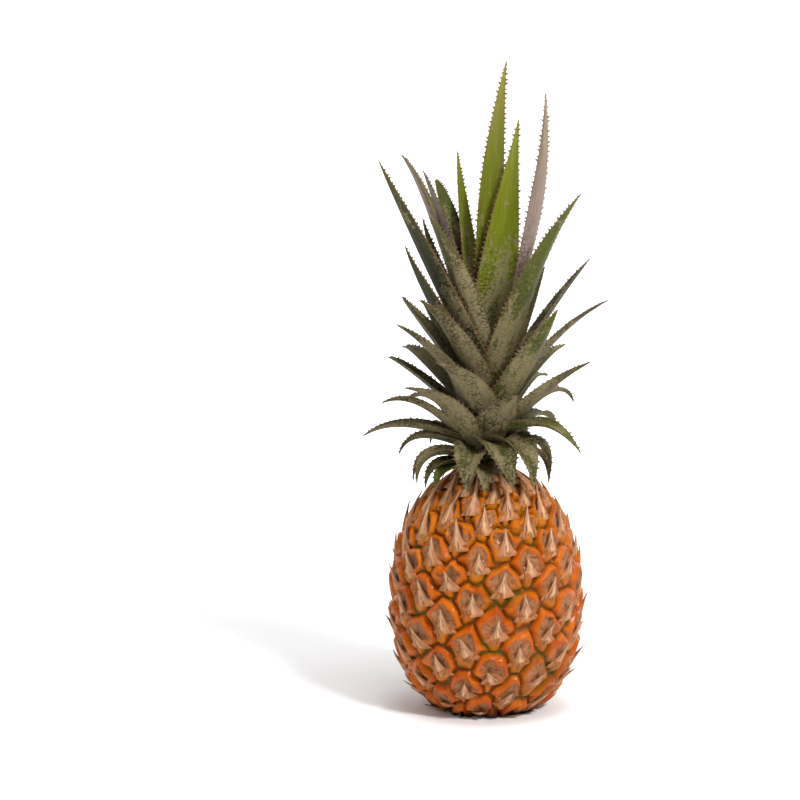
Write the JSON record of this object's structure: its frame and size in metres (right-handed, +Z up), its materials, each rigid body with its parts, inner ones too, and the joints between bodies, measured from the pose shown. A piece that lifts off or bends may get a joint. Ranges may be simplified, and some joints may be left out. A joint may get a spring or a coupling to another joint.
{
  "type": "pineapple",
  "caption": "Whole ripe pineapple standing on its flat cut base: barrel-shaped fruit covered with spirals of eyes and pointed bracts, under a tall crown of spiny channelled leaves.",
  "frame": {"origin": "middle of the flat base that the fruit stands on", "axes": "+Z up through the stalk and the crown, -Y towards the front, +X to the right"},
  "size_m": [0.1406, 0.1183, 0.372],
  "materials": {
    "rind": "waxy orange rind with matte tan eyes and papery bracts",
    "cut_stalk": "dry brown fibrous cut",
    "leaf": "tough green leaf with grey-white scurf and red-brown spines"
  },
  "bodies": {
    "root": {"fruit": "rind", "stalk_stub": "cut_stalk", "crown": "leaf"}
  },
  "joints": []
}
